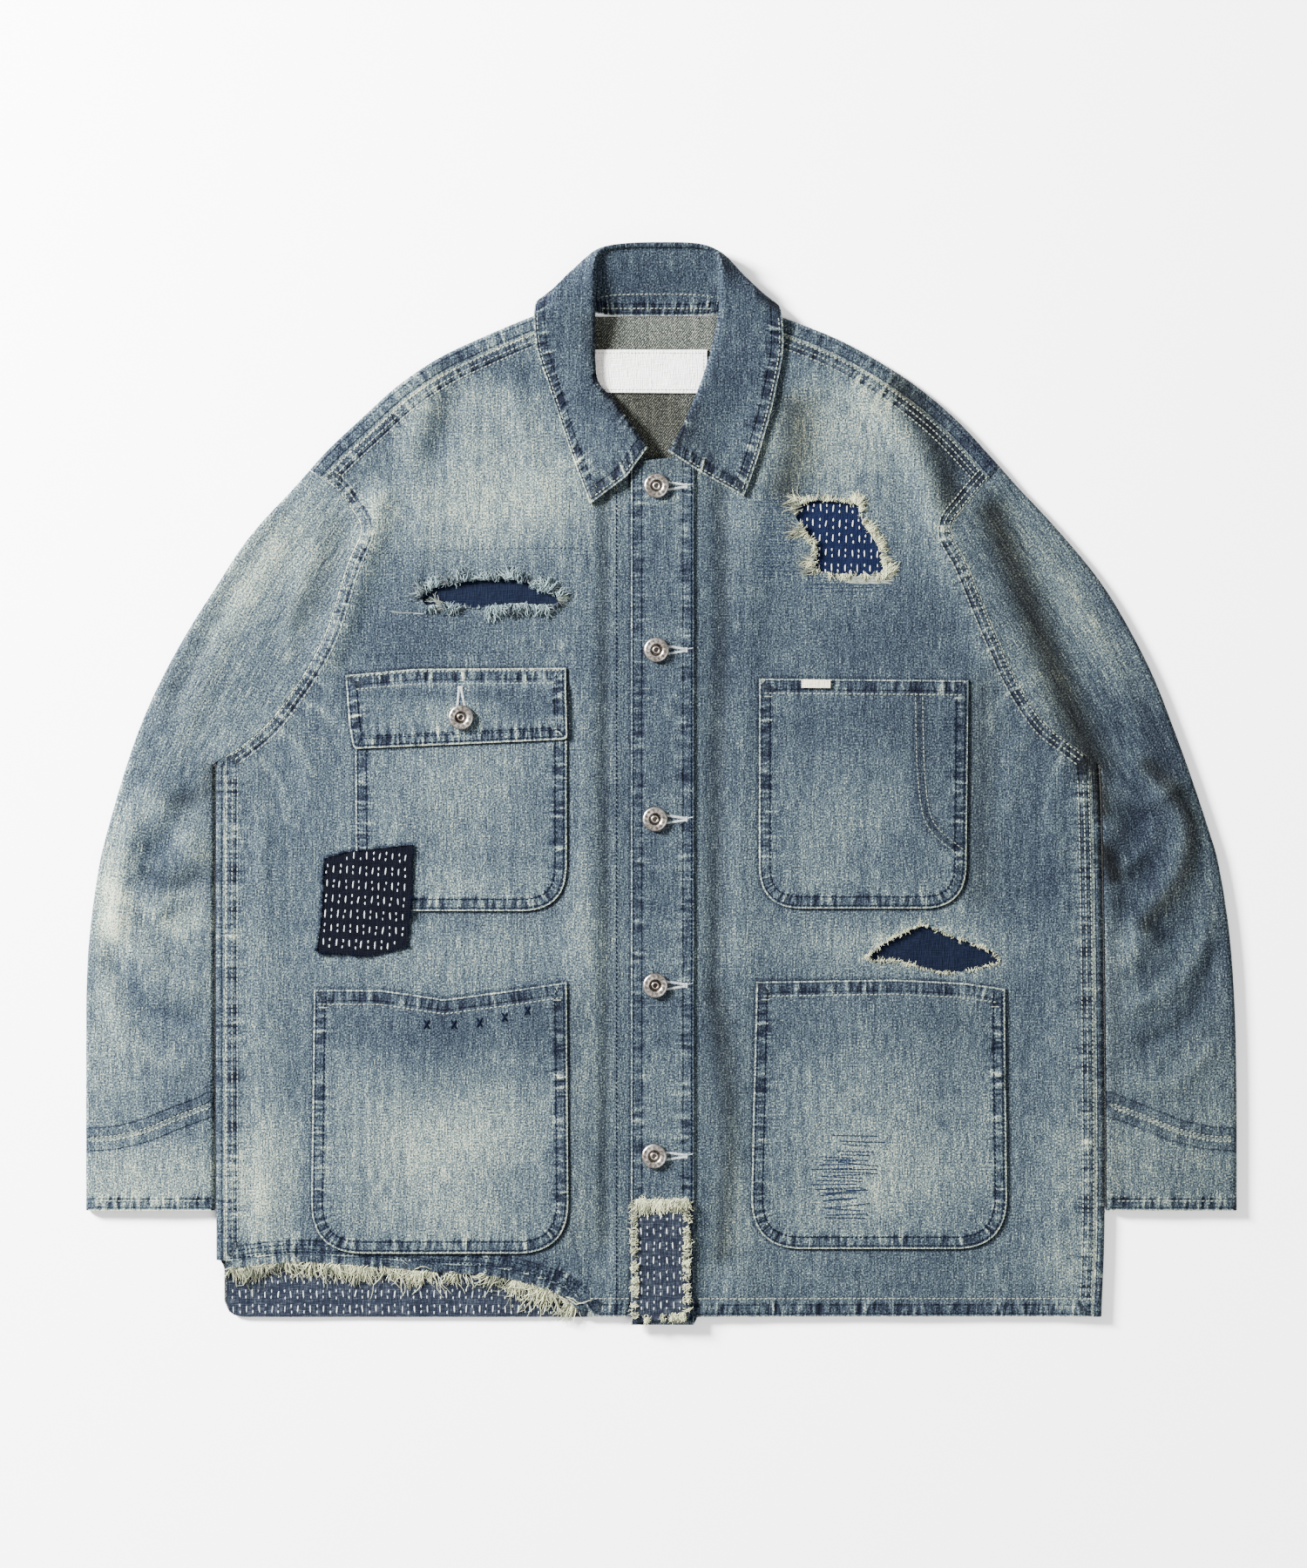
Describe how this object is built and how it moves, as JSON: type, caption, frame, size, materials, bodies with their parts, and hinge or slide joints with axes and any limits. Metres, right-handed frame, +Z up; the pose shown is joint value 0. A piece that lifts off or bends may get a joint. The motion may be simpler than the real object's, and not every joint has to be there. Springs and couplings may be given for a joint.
{
  "type": "patched denim work jacket",
  "caption": "Faded denim work jacket laid flat, front up, with cut rips over sewn-in cloth, running-stitch boro patches, frayed edges, patch pockets and a buttoned placket.",
  "frame": {"origin": "on the surface that the jacket lies on, under the middle of its outline", "axes": "+X across the sleeves to the wearer's left, +Y up the back to the collar, +Z up through the cloth"},
  "size_m": [0.8341, 0.7828, 0.0178],
  "materials": {
    "denim": "washed indigo twill, faded along seams and folds",
    "faded_denim": "indigo twill worn pale",
    "sashiko_cloth": "dark indigo plain weave with white running stitch",
    "frayed_cotton": "frayed undyed cotton",
    "label_cloth": "plain woven tape",
    "button_metal": "worn copper-silver tack button"
  },
  "bodies": {
    "root": {"back": "denim", "front_right": "denim", "front_left": "denim", "placket": "denim", "sleeve_right": "faded_denim", "sleeve_left": "faded_denim", "cuff_right": "faded_denim", "cuff_left": "faded_denim", "collar": "denim", "pocket_chest_right": "denim", "flap_chest_right": "denim", "pocket_hip_right": "denim", "pocket_chest_left": "denim", "pocket_hip_left": "denim", "patch_pocket": "sashiko_cloth", "patch_placket": "sashiko_cloth", "patch_hem": "sashiko_cloth", "backing_chest_right": "sashiko_cloth", "backing_chest_left": "sashiko_cloth", "backing_waist_left": "sashiko_cloth", "fringe_hem": "frayed_cotton", "fringe_chest_right_upper": "frayed_cotton", "fringe_chest_right_lower": "frayed_cotton", "fringe_chest_left": "frayed_cotton", "fringe_placket": "frayed_cotton", "neck_label": "label_cloth", "pocket_tab": "label_cloth", "button_1": "button_metal", "button_2": "button_metal", "button_3": "button_metal", "button_4": "button_metal", "button_5": "button_metal", "button_flap": "button_metal"}
  },
  "joints": []
}
